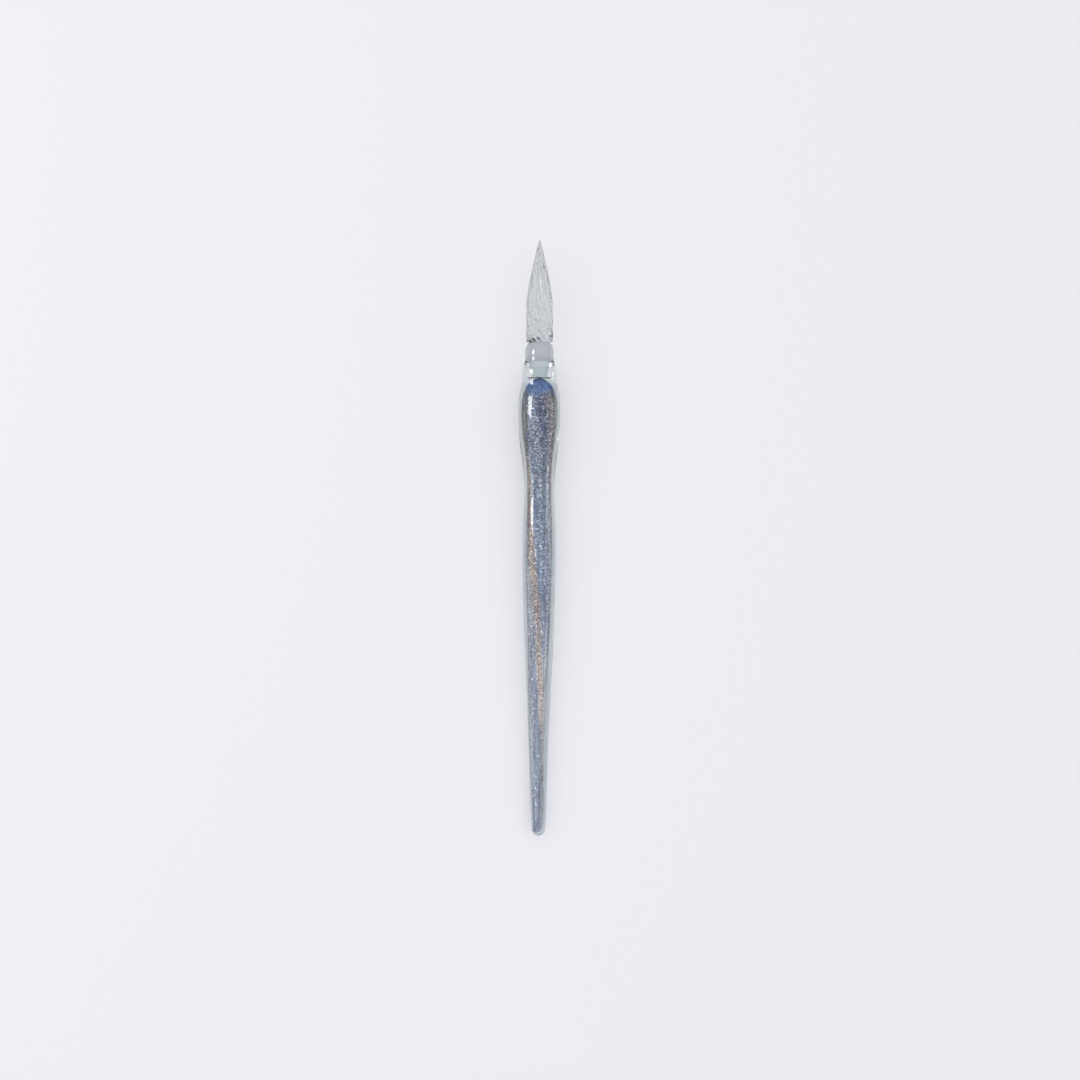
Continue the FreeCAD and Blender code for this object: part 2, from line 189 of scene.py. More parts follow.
def sway(start, end, steps, leaving=SWAY, arriving=SWAY):
    """A curve that is parallel to the axis at both ends."""
    run = end[1] - start[1]
    handles = (start[0], start[1] + run * leaving), (end[0], end[1] - run * arriving)
    return cubic(start, handles, end, steps)


def rounding_out(start, end, steps):
    """A quarter ellipse that leaves square to the axis."""
    handles = (
        (start[0] + (end[0] - start[0]) * ROUND, start[1]),
        (end[0], end[1] - (end[1] - start[1]) * ROUND),
    )
    return cubic(start, handles, end, steps)


def rounding_in(start, end, steps):
    """A quarter ellipse that ends square to the axis."""
    handles = (
        (start[0], start[1] + (end[1] - start[1]) * ROUND),
        (end[0] + (start[0] - end[0]) * ROUND, end[1]),
    )
    return cubic(start, handles, end, steps)


def bead_outline():
    """A round bead, a neck, and a flare that runs on into the handle."""
    leaving_neck = (BEAD_NECK[0], BEAD_NECK[1] + FLARE_RUN)
    reaching_back = (BEAD_BACK[0] - FLARE_RISE, BEAD_BACK[1] - FLARE_RUN)
    return [
        BEAD_JOINT,
        *rounding_out(BEAD_JOINT, BEAD_WIDEST, 26),
        *sway(BEAD_WIDEST, BEAD_NECK, 14),
        *cubic(BEAD_NECK, (leaving_neck, reaching_back), BEAD_BACK, 10),
    ]


def casing_outline():
    """A shoulder, the finger rest, a waist, a second swelling, and a long taper to a round tail."""
    leaving_bead = (BEAD_BACK[0] + FLARE_RISE, BEAD_BACK[1] + FLARE_RUN)
    reaching_shoulder = (SHOULDER[0], SHOULDER[1] - (SHOULDER[1] - BEAD_BACK[1]) * ROUND)
    return [
        BEAD_BACK,
        *cubic(BEAD_BACK, (leaving_bead, reaching_shoulder), SHOULDER, 16),
        *sway(SHOULDER, FRONT_WAIST, 10),
        *sway(FRONT_WAIST, BULGE, 24, leaving=QUICK_SWAY, arriving=SLOW_SWAY),
        *sway(BULGE, WAIST, 50, leaving=LONG_SWAY),
        *sway(WAIST, SWELL, 36, leaving=QUICK_SWAY, arriving=SLOW_SWAY),
        *cubic(SWELL, TAPER_HANDLES, TAIL, 110),
        *rounding_in(TAIL, PEN_END, 16),
    ]


def core_outline():
    """A domed front, then the casing's own swellings in miniature, and a round end."""
    return [
        CORE_FRONT,
        *cubic(CORE_FRONT, CORE_DOME_HANDLES, CORE_BULGE, 30),
        *sway(CORE_BULGE, CORE_WAIST, 40),
        *sway(CORE_WAIST, CORE_SWELL, 36),
        *cubic(CORE_SWELL, CORE_TAPER_HANDLES, CORE_TAIL, 110),
        *rounding_in(CORE_TAIL, CORE_END, 12),
    ]


def radius_at(outline, station):
    """Radius of an outline at a station, between the two points on either side of it."""
    for (radius_a, station_a), (radius_b, station_b) in zip(outline, outline[1:]):
        if station_a <= station <= station_b and station_b > station_a:
            share = (station - station_a) / (station_b - station_a)
            return radius_a + (radius_b - radius_a) * share
    return 0.0


# ---------------------------------------------------------------- meshes
def new_piece(name, points, groups, smooth=True):
    """A named piece of the pen. Each group is a list of faces with its material."""
    faces, materials, face_materials = [], [], []
    for group, material in groups:
        if material not in materials:
            materials.append(material)
        faces += group
        face_materials += [materials.index(material)] * len(group)
    mesh = bpy.data.meshes.new(name)
    mesh.from_pydata(points, [], faces)
    for material in materials:
        mesh.materials.append(material)
    for face, index in zip(mesh.polygons, face_materials):
        face.use_smooth = smooth
        face.material_index = index
    mesh.validate()
    piece = bpy.data.objects.new(name, mesh)
    bpy.context.scene.collection.objects.link(piece)
    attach(piece, BODY)
    return piece


def wobble(station, around, seed, amount):
    """Hand-made unevenness: a share from 1 - amount to 1 that changes slowly over the surface."""
    here = Vector((
        math.sin(around) * CHANGE_ROUND,
        math.cos(around) * CHANGE_ROUND,
        station * CHANGE_ALONG + seed,
    ))
    return 1 - amount * (0.5 + 0.5 * noise.noise(here))


def turned(outline, segments, seed, amount, placed=place):
    """Rings of a turned piece, with single points where its outline meets the axis."""
    points, rings = [], []
    for radius, station in outline:
        if radius == 0:
            rings.append([len(points)])
            points.append(placed(0, station, 0))
            continue
        ring = []
        for step in range(segments):
            around = 2 * math.pi * step / segments
            ring.append(len(points))
            points.append(placed(radius * wobble(station, around, seed, amount), station, around))
        rings.append(ring)
    return points, rings


def skin(rings):
    """Faces between neighbouring rings, facing outwards when the rings run from tip to tail."""
    faces = []
    for front, back in zip(rings, rings[1:]):
        count = max(len(front), len(back))
        for step in range(count):
            after = (step + 1) % count
            if len(front) == 1:
                faces.append((front[0], back[step], back[after]))
            elif len(back) == 1:
                faces.append((front[after], front[step], back[0]))
            else:
                faces.append((front[after], front[step], back[step], back[after]))
    return faces


# ---------------------------------------------------------------- colours and patterns
def grey(level):
    return (level, level, level)


CORE_COLOURS = [
    (0.0, (0.012, 0.03, 0.09)),
    (0.004, (0.02, 0.05, 0.14)),
    (0.01, (0.08, 0.16, 0.36)),
    (0.03, (0.08, 0.17, 0.4)),
    (0.05, (0.03, 0.055, 0.16)),
    (0.1, (0.045, 0.075, 0.19)),
    (0.2, (0.12, 0.17, 0.32)),
    (0.34, (0.2, 0.27, 0.42)),
    (0.7, (0.33, 0.37, 0.49)),
    (1.0, (0.34, 0.38, 0.51)),
]
# Painted light: paler colours for the core's sideways-facing flanks.
FLANK_PAINTED_LIGHT = [(0.1, (0.38, 0.4, 0.36)), (0.2, (0.56, 0.59, 0.63)), (1.0, (0.64, 0.66, 0.71))]
GLITTER_COLOURS = [
    (0.0, (0.08, 0.14, 0.36)),
    (0.15, (0.34, 0.46, 0.68)),
    (0.28, (0.72, 0.77, 0.86)),
    (0.42, (0.60, 0.56, 0.68)),
    (0.55, (0.80, 0.74, 0.76)),
    (0.7, (0.82, 0.64, 0.53)),
    (0.85, (0.54, 0.38, 0.34)),
    (1.0, (0.42, 0.46, 0.30)),
]
GLITTER_SHADE = [(0.03, (0.5, 0.5, 0.52)), (0.2, grey(0.6)), (0.45, grey(0.84)), (0.9, grey(0.9))]
GLITTER_SHARE = [(0.02, grey(0)), (0.05, grey(0.85)), (0.4, grey(0.6)), (0.7, grey(0.12))]
# Painted glints: cell brightness, up to more than white, stands in for flakes turned towards or away from
# the light.
PAINTED_GLINTS = [(0.0, (0.05, 0.06, 0.1)), (0.5, grey(0.55)), (0.8, grey(1.15)), (1.0, grey(2.3))]
FLAKE_GLINTS = [(0.0, (0.12, 0.13, 0.18)), (0.5, grey(0.65)), (1.0, grey(1.3))]
STREAKS = [(0.3, (0.6, 0.6, 0.66)), (0.7, (1.2, 1.2, 1.15))]
DRAWN_OUT = [(0.3, (0.6, 0.61, 0.66)), (0.5, grey(0.95)), (0.7, (1.35, 1.33, 1.28))]
# Painted shade in the bead's tint, darkest just before its back.
BEAD_PAINTED_SHADE = [
    (0.0, (0.6, 0.62, 0.65)),
    (0.5, (0.56, 0.58, 0.61)),
    (0.88, (0.46, 0.49, 0.52)),
    (1.0, (0.55, 0.57, 0.6)),
]
# Grey glass tints: partly the glass's own faint green, partly painted shade that darkens what is seen
# through the glass, in place of the shaded floor beneath the pen.
NIB_TINT_AND_SHADE, BEAD_TINT_AND_SHADE, CASING_TINT_AND_SHADE = (0.76, 0.78, 0.79), (0.6, 0.62, 0.655), (0.82, 0.86, 0.86)
NIB_SHADE, CASING_SHADE = (0.93, 0.94, 0.94), (0.93, 0.95, 0.95)

# How many times each pattern repeats in a metre, and how far it is drawn out along the pen.
FLAKE_CELLS, FINE_GRAIN = 3300, 3400
LINES, LINES_DRAWN = 1300, (1, 0.03, 1)
CORE_STREAKS, CORE_STREAKS_DRAWN = 700, (1, 0.08, 1)
CORE_PATCHES, CORE_PATCHES_DRAWN = 260, (1, 0.2, 1)
BAND_PATCHES, BAND_PATCHES_DRAWN = 600, (1, 0.12, 1)
RIPPLE_HEIGHT = 0.0002


# ---------------------------------------------------------------- shader nodes
def new_material(name):
    material = bpy.data.materials.new(name)
    material.use_nodes = True
    nodes = material.node_tree.nodes
    nodes.clear()
    output = nodes.new("ShaderNodeOutputMaterial")
    return material, nodes, material.node_tree.links, output


def coordinate(nodes, links, kind, axis):
    """One coordinate of the place, or of the direction that the surface faces."""
    where = nodes.new("ShaderNodeTexCoord")
    split = nodes.new("ShaderNodeSeparateXYZ")
    links.new(where.outputs[kind], split.inputs["Vector"])
    return split.outputs[axis]


def mottle(nodes, links, scale, detail=3.0, drawn=None):
    """Noise over the pen, in the frame's own metres."""
    where = nodes.new("ShaderNodeTexCoord").outputs["Object"]
    if drawn:
        mapping = nodes.new("ShaderNodeMapping")
        mapping.inputs["Scale"].default_value = drawn
        links.new(where, mapping.inputs["Vector"])
        where = mapping.outputs["Vector"]
    texture = nodes.new("ShaderNodeTexNoise")
    texture.inputs["Scale"].default_value = scale
    texture.inputs["Detail"].default_value = detail
    links.new(where, texture.inputs["Vector"])
    return texture.outputs["Fac"]


def between(nodes, links, value, low, high, from_low=0.0, from_high=1.0):
    """Low where the value is from_low, high where it is from_high, and held beyond both."""
    spread = nodes.new("ShaderNodeMapRange")
    spread.inputs["From Min"].default_value = from_low
    spread.inputs["From Max"].default_value = from_high
    spread.inputs["To Min"].default_value = low
    spread.inputs["To Max"].default_value = high
    links.new(value, spread.inputs["Value"])
    return spread.outputs["Result"]


def along_pen(nodes, links, from_station, to_station):
    """0 at one station and 1 at another."""
    start, end = place(0, from_station, 0).y, place(0, to_station, 0).y
    return between(nodes, links, coordinate(nodes, links, "Object", "Y"), 0.0, 1.0, start, end)


def ramp(nodes, links, value, stops):
    """The colour at a value, between given stops."""
    ramp_node = nodes.new("ShaderNodeValToRGB")
    elements = ramp_node.color_ramp.elements
    while len(elements) < len(stops):
        elements.new(0.5)
    for element, (position, colour) in zip(elements, stops):
        element.position = position
        element.color = (*colour, 1)
    links.new(value, ramp_node.inputs["Fac"])
    return ramp_node.outputs["Color"]


def combine(nodes, links, operation, first, *others):
    """The sum or the product of several values."""
    total = first
    for other in others:
        step = nodes.new("ShaderNodeMath")
        step.operation = operation
        links.new(total, step.inputs[0])
        links.new(other, step.inputs[1])
        total = step.outputs["Value"]
    return total


def mix_colours(nodes, links, blend_type, one, other):
    mix = nodes.new("ShaderNodeMix")
    mix.data_type = "RGBA"
    mix.blend_type = blend_type
    links.new(one, mix.inputs["A"])
    links.new(other, mix.inputs["B"])
    return mix.inputs["Factor"], mix.outputs["Result"]


def multiply(nodes, links, one, other, amount=1.0):
    factor, result = mix_colours(nodes, links, "MULTIPLY", one, other)
    factor.default_value = amount
    return result


def blend(nodes, links, one, other, share):
    factor, result = mix_colours(nodes, links, "MIX", one, other)
    links.new(share, factor)
    return result


def flake_values(nodes, links):
    """The three numbers in the piece's own "flake" colour: red is the hue."""
    own = nodes.new("ShaderNodeAttribute")
    own.attribute_name = "flake"
    split = nodes.new("ShaderNodeSeparateColor")
    links.new(own.outputs["Color"], split.inputs["Color"])
    return split.outputs


# ---------------------------------------------------------------- materials
def clear_glass(name, tint, shade, scale, ripple, drawn_out):
    """Clear glass. For the light that falls on what is inside and under it, it is a plain tinted film, so
    that it throws a soft shade and no bright pools."""
    material, nodes, links, output = new_material(name)
    glass = nodes.new("ShaderNodeBsdfPrincipled")
    # The tint is partly the glass's own colour and partly painted shade over what is seen through it.
    glass.inputs["Base Color"].default_value = (*tint, 1)
    glass.inputs["Transmission Weight"].default_value = 1
    glass.inputs["IOR"].default_value = 1.5
    uneven = mottle(nodes, links, scale, drawn=(1, drawn_out, 1))
    links.new(between(nodes, links, uneven, 0.0, 0.03), glass.inputs["Roughness"])
    bump = nodes.new("ShaderNodeBump")
    bump.inputs["Strength"].default_value = ripple
    bump.inputs["Distance"].default_value = RIPPLE_HEIGHT
    links.new(uneven, bump.inputs["Height"])
    links.new(bump.outputs["Normal"], glass.inputs["Normal"])
    clear = nodes.new("ShaderNodeBsdfTransparent")
    clear.inputs["Color"].default_value = (*shade, 1)
    light_path = nodes.new("ShaderNodeLightPath")
    surface = glass.outputs["BSDF"]
    for kind in ("Is Diffuse Ray", "Is Shadow Ray"):
        mix = nodes.new("ShaderNodeMixShader")
        links.new(light_path.outputs[kind], mix.inputs["Fac"])
        links.new(surface, mix.inputs[1])
        links.new(clear.outputs["BSDF"], mix.inputs[2])
        surface = mix.outputs["Shader"]
    links.new(surface, output.inputs["Surface"])
    return material


def paint_shade_towards_handle(material):
    """Painted shade: the bead's tint darkens towards its back, most just before its joint with the handle,
    in place of the darker handle seen through it.
    """
    nodes, links = material.node_tree.nodes, material.node_tree.links
    glass = next(n for n in nodes if n.type == "BSDF_PRINCIPLED")
    tint = ramp(nodes, links, along_pen(nodes, links, BEAD_JOINT[1], BEAD_BACK[1]), BEAD_PAINTED_SHADE)
    links.new(tint, glass.inputs["Base Color"])


def fused_joint():
    """Where two pieces of clear glass have melted into one there is nothing to see."""
    material, nodes, links, output = new_material("fused_joint")
    clear = nodes.new("ShaderNodeBsdfTransparent")
    links.new(clear.outputs["BSDF"], output.inputs["Surface"])
    return material


def painted_light_flanks(nodes, links, along, colour):
    """Painted light: paler, greyer colour on both flanks of the core, where its surface faces sideways."""
    sideways = nodes.new("ShaderNodeMath")
    sideways.operation = "ABSOLUTE"
    links.new(coordinate(nodes, links, "Normal", "X"), sideways.inputs[0])
    painted_flank = between(nodes, links, sideways.outputs["Value"], 0.0, 0.85, 0.55, 0.9)
    behind_dome = between(nodes, links, along, 0.0, 1.0, 0.025, 0.05)
    own = ramp(nodes, links, along, FLANK_PAINTED_LIGHT)
    return blend(nodes, links, colour, own, combine(nodes, links, "MULTIPLY", painted_flank, behind_dome))


def crowd(nodes, links, along, colour, hue, variety, share):
    """Packs the glass with glitter, drawn out into fine lines along the pen. Each cell is one flake, and
    the given share of the cells shows its own colour."""
    where = nodes.new("ShaderNodeTexCoord")
    cells = nodes.new("ShaderNodeTexVoronoi")
    cells.inputs["Scale"].default_value = FLAKE_CELLS
    links.new(where.outputs["Object"], cells.inputs["Vector"])
    split = nodes.new("ShaderNodeSeparateColor")
    links.new(cells.outputs["Color"], split.inputs["Color"])
    spread = between(nodes, links, split.outputs["Green"], -variety, variety)
    own = ramp(nodes, links, combine(nodes, links, "ADD", spread, hue), GLITTER_COLOURS)
    # Painted glints on the cells.
    own = multiply(nodes, links, own, ramp(nodes, links, split.outputs["Blue"], PAINTED_GLINTS))
    own = multiply(nodes, links, own, ramp(nodes, links, along, GLITTER_SHADE))
    chosen = combine(nodes, links, "ADD", split.outputs["Red"], share)
    shows = between(nodes, links, chosen, 0.0, 0.85, 0.98, 1.02)
    tone = ramp(nodes, links, mottle(nodes, links, LINES, 1, LINES_DRAWN), DRAWN_OUT)
    return multiply(nodes, links, blend(nodes, links, colour, own, shows), tone)


def solid_glass(name, make_colour, roughness):
    """Coloured glass that can't be seen into, with the colour and an unevenness that make_colour gives."""
    material, nodes, links, output = new_material(name)
    shader = nodes.new("ShaderNodeBsdfPrincipled")
    along = along_pen(nodes, links, CORE_FRONT[1], CORE_END[1])
    colour, uneven = make_colour(nodes, links, along)
    links.new(colour, shader.inputs["Base Color"])
    links.new(between(nodes, links, uneven, *roughness), shader.inputs["Roughness"])
    shader.inputs["Specular IOR Level"].default_value = 0.2
    links.new(shader.outputs["BSDF"], output.inputs["Surface"])
    return material


def core_colour(nodes, links, along):
    """Blue rod: bright at its dome, navy under the finger rest, and greyer towards the tail."""
    base = ramp(nodes, links, along, CORE_COLOURS)
    streaks = mottle(nodes, links, CORE_STREAKS, drawn=CORE_STREAKS_DRAWN)
    shade = multiply(nodes, links, base, ramp(nodes, links, streaks, STREAKS), 0.8)
    # Painted light on the core's flanks.
    shade = painted_light_flanks(nodes, links, along, shade)
    patches = mottle(nodes, links, CORE_PATCHES, drawn=CORE_PATCHES_DRAWN)
    crowded = between(nodes, links, patches, 0.35, 1.0, 0.42, 0.58)
    share = combine(nodes, links, "MULTIPLY", ramp(nodes, links, along, GLITTER_SHARE), crowded)
    hue = between(nodes, links, patches, 0.5, 0.25, 0.4, 0.6)
    return crowd(nodes, links, along, shade, hue, 0.3, share), streaks


def band_colour(nodes, links, along):
    """The core's blue glass, clouded with the finest of the glitter."""
    flake = flake_values(nodes, links)
    base = ramp(nodes, links, along, CORE_COLOURS)
    cloud = ramp(nodes, links, flake["Red"], GLITTER_COLOURS)
    cloud = multiply(nodes, links, cloud, ramp(nodes, links, along, GLITTER_SHADE))
    grain = mottle(nodes, links, FINE_GRAIN, 1)
    patches = mottle(nodes, links, BAND_PATCHES, drawn=BAND_PATCHES_DRAWN)
    thinning = between(nodes, links, flake["Green"], 0.0, -0.3, 0.5, 1.0)
    crowding = between(nodes, links, patches, -0.16, 0.16, 0.3, 0.7)
    begins = between(nodes, links, along, -0.5, 0.0, 0.02, 0.05)
    amount = combine(nodes, links, "ADD", grain, thinning, crowding, begins)
    cloudy = blend(nodes, links, base, cloud, between(nodes, links, amount, 0.0, 0.8, 0.34, 0.6))
    # Painted light on the flanks.
    cloudy = painted_light_flanks(nodes, links, along, cloudy)
    crowded = between(nodes, links, amount, 0.8, 1.7, 0.3, 0.6)
    share = combine(nodes, links, "MULTIPLY", ramp(nodes, links, along, GLITTER_SHARE), crowded)
    return crowd(nodes, links, along, cloudy, flake["Red"], 0.14, share), grain


def flake_material():
    """Metal glitter, each flake with its own colour and polish."""
    material, nodes, links, output = new_material("glitter_flakes")
    shader = nodes.new("ShaderNodeBsdfPrincipled")
    shader.inputs["Metallic"].default_value = 1
    flake = flake_values(nodes, links)
    colour = ramp(nodes, links, flake["Red"], GLITTER_COLOURS)
    glint = ramp(nodes, links, flake["Blue"], FLAKE_GLINTS)
    links.new(multiply(nodes, links, colour, glint), shader.inputs["Base Color"])
    links.new(between(nodes, links, flake["Green"], 0.18, 0.5), shader.inputs["Roughness"])
    links.new(shader.outputs["BSDF"], output.inputs["Surface"])
    return material


JOINT = fused_joint()
NIB_GLASS = clear_glass("nib_glass", NIB_TINT_AND_SHADE, NIB_SHADE, scale=900, ripple=0.8, drawn_out=0.06)
BEAD_GLASS = clear_glass("bead_glass", BEAD_TINT_AND_SHADE, NIB_SHADE, scale=300, ripple=0.1, drawn_out=0.25)
paint_shade_towards_handle(BEAD_GLASS)
CASING_GLASS = clear_glass(
    "casing_glass", CASING_TINT_AND_SHADE, CASING_SHADE, scale=250, ripple=0.12, drawn_out=0.25
)
CORE_GLASS = solid_glass("blue_core", core_colour, (0.35, 0.6))
BAND_GLASS = solid_glass("band_glass", band_colour, (0.3, 0.6))
FLAKES = flake_material()


# ---------------------------------------------------------------- the nib
def nib_ridge_radius(station):
    """Radius over the ridges: a round writing point, a full taper, then a polished back edge."""
    left = max(0.0, 1 - station / NIB_TAPER)
    radius = NIB_TIP + (NIB_RADIUS - NIB_TIP) * (1 - left**NIB_POWER)
    if station < NIB_TIP:
        radius *= math.sqrt(1 - TIP_ROUNDING * (1 - station / NIB_TIP) ** 2)
    into_edge = station - (NIB_LENGTH - NIB_EDGE)
    if into_edge > 0:
        radius -= NIB_EDGE_DROP * (1 - math.sqrt(max(0.0, 1 - (into_edge / NIB_EDGE) ** 2)))
    return radius


def nib_flute_depth(station):
    """Shallow grooves on the ground tip, deeper where the rod was left as it was drawn."""
    return TIP_FLUTE_DEPTH + (FLUTE_DEPTH - TIP_FLUTE_DEPTH) * eased(station / FLUTE_FULL_AT)


def nib_turn(station):
    """How far the flutes have turned: slowly at first, fastest at the back."""
    share = station / NIB_LENGTH
    return math.radians(GENTLE_TWIST * share**2 + TIGHT_TWIST * share**7)


def nib_stations(spacing=0.14, edge_steps=8):
    """Close together on the writing point and on the back edge, and evenly spaced between them."""
    edge_start = NIB_LENGTH - NIB_EDGE
    steps = round((edge_start - NIB_TIP) / spacing)
    stations = [0.0, 0.02, 0.05, 0.085, NIB_TIP]
    stations += [NIB_TIP + (edge_start - NIB_TIP) * i / steps for i in range(1, steps + 1)]
    stations += [
        edge_start + NIB_EDGE * math.sin(math.pi / 2 * i / edge_steps) for i in range(1, edge_steps + 1)
    ]
    return stations


def make_nib(per_flute=18, back_steps=6):
    """Ridges of slightly different depth and lean, as they come from a hand-drawn rod."""
    draw = random.Random(NIB_SEED)
    depths = [draw.uniform(1 - DEPTH_SPREAD, 1 + DEPTH_SPREAD) for _ in range(FLUTES)]
    leans = [draw.uniform(-LEAN_SPREAD, LEAN_SPREAD) for _ in range(FLUTES)]
    count = FLUTES * per_flute

    def row(station, towards_joint=0.0, dip=0.0):
        ridge = nib_ridge_radius(min(station, NIB_LENGTH))
        points = []
        for step in range(count):
            angle = 2 * math.pi * step / count
            flute = int(((angle * FLUTES / (2 * math.pi)) + 0.5) % FLUTES)
            groove = ((1 + math.cos(FLUTES * angle)) / 2) ** GROOVE_POWER
            radius = ridge * (1 - depths[flute] * nib_flute_depth(station) * groove)
            radius += (BEAD_JOINT[0] - radius) * towards_joint
            lean = leans[flute] * groove * math.sin(station * LEAN_CHANGE + flute)
            points.append(place(radius, station - dip, angle + nib_turn(station) + lean))
        return points

    rows = [row(station) for station in nib_stations()]
    for i in range(1, back_steps + 1):
        share = i / back_steps
        rows.append(row(NIB_LENGTH, share, BACK_DIP * math.sin(math.pi * share)))
    points = [point for around_nib in rows for point in around_nib]
    rings = [list(range(i * count, (i + 1) * count)) for i in range(len(rows))]
    tip_centre, joint_centre = len(points), len(points) + 1
    points += [place(0, 0.0, 0), place(0, NIB_LENGTH, 0)]
    faces = skin([[tip_centre], *rings])
    joint = skin([rings[-1], [joint_centre]])
    piece = new_piece("fluted_nib", points, [(faces, NIB_GLASS), (joint, JOINT)])
    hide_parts("nib")


# ---------------------------------------------------------------- the bead and the handle's casing
def make_clear_turned(name, node, outline, glass, seed, film=((), ())):
    """A clear turned piece, closed by a fused joint wherever its outline stops short of the axis. A film
    of air inside it can be given as points and faces."""
    points, rings = turned(outline, CLEAR_SEGMENTS, seed, CLEAR_UNEVENNESS)
    # The joints keep their exact size, so that neighbouring pieces meet without a step.
    for ring, (radius, station) in ((rings[0], outline[0]), (rings[-1], outline[-1])):
        if radius:
            for step, index in enumerate(ring):
                points[index] = place(radius, station, 2 * math.pi * step / CLEAR_SEGMENTS)
    faces = skin(rings)
    joints = skin([[len(points)], rings[0]])
    points.append(place(0, outline[0][1], 0))
    if outline[-1][0]:
        joints += skin([rings[-1], [len(points)]])
        points.append(place(0, outline[-1][1], 0))
    film_points, film_faces = film
    walls = [tuple(len(points) + i for i in face) for face in film_faces]
    points += film_points
    piece = new_piece(name, points, [(faces, glass), (joints, JOINT), (walls, glass)])
    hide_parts(node)
    return piece


def air_film(segments=96, steps=8):
    """A thin film of air left round the clear front of the inner rod, in front of the coloured core. Its
    walls face into the film, as the walls of a bubble in glass do."""
    (radius_a, station_a), (radius_b, station_b) = FILM_FRONT, FILM_BACK
    outside = [
        (radius_a + (radius_b - radius_a) * i / steps, station_a + (station_b - station_a) * i / steps)
        for i in range(steps + 1)
    ]
    inside = [(radius - FILM_THICKNESS, station) for radius, station in reversed(outside)]
    points, rings = [], []
    for radius, station in outside + inside:
        rings.append(list(range(len(points), len(points) + segments)))
        points += [place(radius, station, 2 * math.pi * step / segments) for step in range(segments)]
    return points, [tuple(reversed(face)) for face in skin([*rings, rings[0]])]


# ---------------------------------------------------------------- the coloured core and its glitter
CORE = core_outline()


def make_core():
    points, rings = turned(CORE, CORE_SEGMENTS, CORE_SEED, CORE_UNEVENNESS, place_in_core)
    piece = new_piece("blue_core", points, [(skin(rings), CORE_GLASS)])
    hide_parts("colour_core")
    return piece


def band_middle(number, station):
    """Angle of the middle of a band at a station."""
    return BAND_START + 2 * math.pi / BANDS * (number - 1) + BAND_TWIST * (station - BAND_FRONT)


def past_band(number, station, around):
    """How far a place is from the middle of a band, in half widths."""
    turn = around - band_middle(number, station)
    return ((turn + math.pi) % (2 * math.pi) - math.pi) / BAND_HALF


def band_hue(number, across, station):
    """Where a flake's colour lies between blue, silver, copper and olive."""
    olive = number == OLIVE_BAND and across > OLIVE_EDGE and station < OLIVE_END
    return BAND_HUES[number - 1] + (OLIVE_STEP if olive else 0.0) + HUE_SLANT * across


def glitter_density(station):
    """Share of the flakes kept: none on the dome, crowded behind it, thin towards the tail."""
    if station < GLITTER_FROM + FADE_AFTER:
        return max(0.0, (station - GLITTER_FROM + FADE_BEFORE) / (FADE_BEFORE + FADE_AFTER))
    if station < THINNING_FROM:
        return 1.0
    return max(THINNEST, 1 - (station - THINNING_FROM) / THINNING_RUN)


def scatter(draw, station, around, sizes, tilt):
    """Where a flake lies: its centre, its outward and sideways directions, and its size."""
    radius = radius_at(CORE, station) + draw.uniform(*FLAKE_LIFTS)
    centre = place_in_core(radius, station, around)
    outwards = (centre - place_in_core(0, station, 0)).normalized()
    lean = Vector((draw.gauss(0, tilt), draw.gauss(0, tilt), draw.gauss(0, tilt)))
    outwards = (outwards + lean).normalized()
    sideways = outwards.cross(TAILWARDS).normalized()
    return centre, outwards, sideways, draw.uniform(*sizes) * MM


def flake_tint(draw, hue):
    """The flake's hue, and two random numbers for its polish and its glint."""
    return min(1, max(0, hue)), draw.random(), draw.random()


def add_flake(points, faces, tints, draw, spot, tint):
    """One flat flake with a few uneven corners, as a thin solid."""
    centre, outwards, sideways, size = spot
    corners = draw.choice(FLAKE_CORNERS)
    across = outwards.cross(sideways)
    first = len(points)
    turn = draw.uniform(0, 2 * math.pi)
    outline = []
    for corner in range(corners):
        angle = turn + 2 * math.pi * (corner + draw.uniform(-CORNER_SHIFT, CORNER_SHIFT)) / corners
        reach = size * draw.uniform(*CORNER_REACH)
        outline.append(sideways * (math.cos(angle) * reach) + across * (math.sin(angle) * reach))
    half = outwards * (FLAKE_HALF * MM)
    points += [centre + p - half for p in outline]
    points += [centre + p + half for p in outline]
    low = list(range(first, first + corners))
    high = list(range(first + corners, first + 2 * corners))
    sides = [
        (low[i], low[(i + 1) % corners], high[(i + 1) % corners], high[i]) for i in range(corners)
    ]
    flake = [tuple(reversed(low)), tuple(high), *sides]
    if across.cross(outwards).dot(sideways) <= 0:
        flake = [tuple(reversed(face)) for face in flake]
    faces += flake
    tints += [tint] * (2 * corners)


def new_glitter(name, points, groups, tints):
    """A piece with flat faces, whose points carry the numbers that its materials read."""
    piece = new_piece(name, points, groups, smooth=False)
    layer = piece.data.attributes.new("flake", "FLOAT_COLOR", "POINT")
    for index, tint in enumerate(tints):
        layer.data[index].color = (*tint, 1)
    return piece


def band_strip(number):
    """Points, faces and tints of a strip of clouded glass let into the core, with a slight crown."""
    points, faces, tints = [], [], []
    rows = round((BAND_END - BAND_FRONT) / STRIP_SPACING)
    for row in range(rows + 1):
        station = BAND_FRONT + (BAND_END - BAND_FRONT) * row / rows
        radius = radius_at(CORE, station) + STRIP_LIFT
        for side in (1, -1):
            for column in range(STRIP_COLUMNS + 1):
                across = 2 * column / STRIP_COLUMNS - 1
                crown = STRIP_CROWN * (1 - across**4) * side
                around = band_middle(number, station) + across * BAND_HALF
                points.append(place_in_core(radius + crown, station, around))
                tints.append((BAND_HUES[number - 1], abs(across), 0.5))
    columns = list(range(STRIP_COLUMNS + 1))
    loop = columns + [2 * STRIP_COLUMNS + 1 - column for column in columns]
    width = len(loop)
    for row in range(rows):
        here, beyond = row * width, (row + 1) * width
        for column, after in zip(loop, loop[1:] + loop[:1]):
            faces.append((here + after, here + column, beyond + column, beyond + after))
    faces.append(tuple(loop))
    faces.append(tuple(rows * width + column for column in reversed(loop)))
    return points, faces, tints


